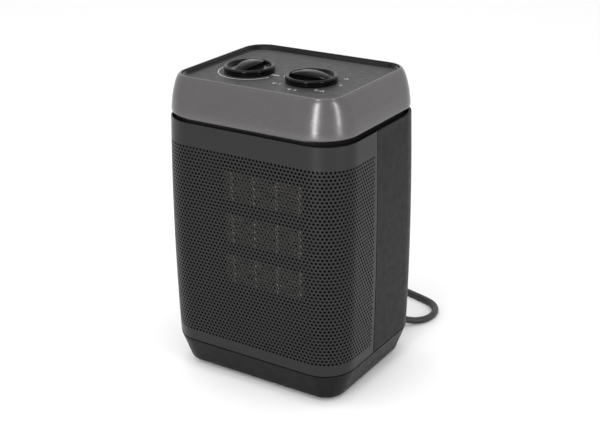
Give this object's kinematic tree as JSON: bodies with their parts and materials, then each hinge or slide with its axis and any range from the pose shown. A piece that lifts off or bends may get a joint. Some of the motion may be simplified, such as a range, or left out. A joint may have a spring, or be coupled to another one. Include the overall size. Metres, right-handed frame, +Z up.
{
  "type": "ceramic space heater",
  "caption": "Upright ceramic fan heater with a perforated steel front, two rotary controls on top, a turntable foot that swings the housing, and a mains cord.",
  "frame": {"origin": "centre of the foot's footprint, on the floor", "axes": "+Z up; the perforated front faces -Y; +X is to the right of someone who faces the front"},
  "size_m": [0.2197, 0.2389, 0.264],
  "materials": {
    "dark_plastic": "fine spark texture, satin black",
    "gloss_black": "smooth, glossy black",
    "panel_plastic": "fine leather grain, dark grey",
    "band_paint": "satin metallic titanium grey",
    "grille_steel": "satin charcoal powder paint",
    "zinc_steel": "zinc plated",
    "fin_aluminium": "bare, slightly dull",
    "nylon": "natural nylon",
    "black_rubber": "matte",
    "cord_pvc": "smooth PVC sheath",
    "copper_winding": "enamelled copper wire",
    "plug_brass": "nickel plated pins"
  },
  "bodies": {
    "foot": {"turntable_foot": "dark_plastic", "foot_pad_1": "black_rubber", "foot_pad_2": "black_rubber", "foot_pad_3": "black_rubber", "foot_pad_4": "black_rubber", "slide_ring": "nylon", "pivot_retainer": "zinc_steel", "swing_track": "nylon", "tip_switch": "gloss_black", "cord_run": "cord_pvc", "cord_coil": "cord_pvc", "cord_tie": "black_rubber", "cord_tail": "cord_pvc", "plug_body": "black_rubber", "plug_pin_1": "plug_brass", "plug_pin_2": "plug_brass"},
    "housing": {"base_cover": "dark_plastic", "base_screw_1": "zinc_steel", "base_screw_2": "zinc_steel", "base_screw_3": "zinc_steel", "base_screw_4": "zinc_steel", "lower_deck": "dark_plastic", "swing_motor": "zinc_steel", "front_grille": "grille_steel", "rear_shell": "dark_plastic", "upper_collar": "dark_plastic", "top_band": "band_paint", "control_panel": "panel_plastic", "terminal_block": "nylon", "thermostat_body": "zinc_steel", "selector_switch": "gloss_black", "element_frame": "gloss_black", "ceramic_bar_1": "fin_aluminium", "ceramic_bar_2": "fin_aluminium", "ceramic_bar_3": "fin_aluminium", "ceramic_bar_4": "fin_aluminium", "fin_block_1": "fin_aluminium", "fin_block_2": "fin_aluminium", "fin_block_3": "fin_aluminium", "fin_block_4": "fin_aluminium", "fin_block_5": "fin_aluminium", "thermal_cutout": "gloss_black", "air_duct": "dark_plastic", "fan_shroud": "dark_plastic", "motor_stator": "zinc_steel", "motor_coil": "copper_winding", "motor_spider": "dark_plastic", "rear_bearing": "zinc_steel", "strain_relief": "black_rubber"},
    "crank": {"swing_crank": "nylon"},
    "plunger": {"tip_plunger": "nylon"},
    "thermostat": {"thermostat_knob": "gloss_black", "thermostat_shaft": "zinc_steel"},
    "selector": {"selector_knob": "gloss_black", "selector_shaft": "nylon"},
    "fan": {"impeller": "gloss_black", "fan_shaft": "zinc_steel", "motor_rotor": "zinc_steel"}
  },
  "joints": [
    {"name": "swing", "type": "hinge", "parent": "foot", "child": "housing", "pos_m": [0, 0, 0.018], "axis": [0, 0, 1], "range_deg": [-30, 30], "deforming": ["cord_run"]},
    {"name": "swing_drive", "type": "hinge", "parent": "housing", "child": "crank", "pos_m": [0, -0.026, 0.024], "axis": [0, 0, 1], "continuous": true},
    {"name": "tip_plunger_travel", "type": "slide", "parent": "foot", "child": "plunger", "axis": [0, 0, 1], "range_m": [-0.003, 0], "stiffness_N_per_m": 60, "springref_m": -0.006},
    {"name": "thermostat_turn", "type": "hinge", "parent": "housing", "child": "thermostat", "pos_m": [-0.034, -0.01, 0.255], "axis": [0, 0, 1], "range_deg": [0, 270]},
    {"name": "selector_turn", "type": "hinge", "parent": "housing", "child": "selector", "pos_m": [0.0257, -0.01, 0.255], "axis": [0, 0, 1], "range_deg": [0, 270]},
    {"name": "fan_spin", "type": "hinge", "parent": "housing", "child": "fan", "pos_m": [0, 0.0175, 0.129], "axis": [0, 1, 0], "continuous": true}
  ]
}
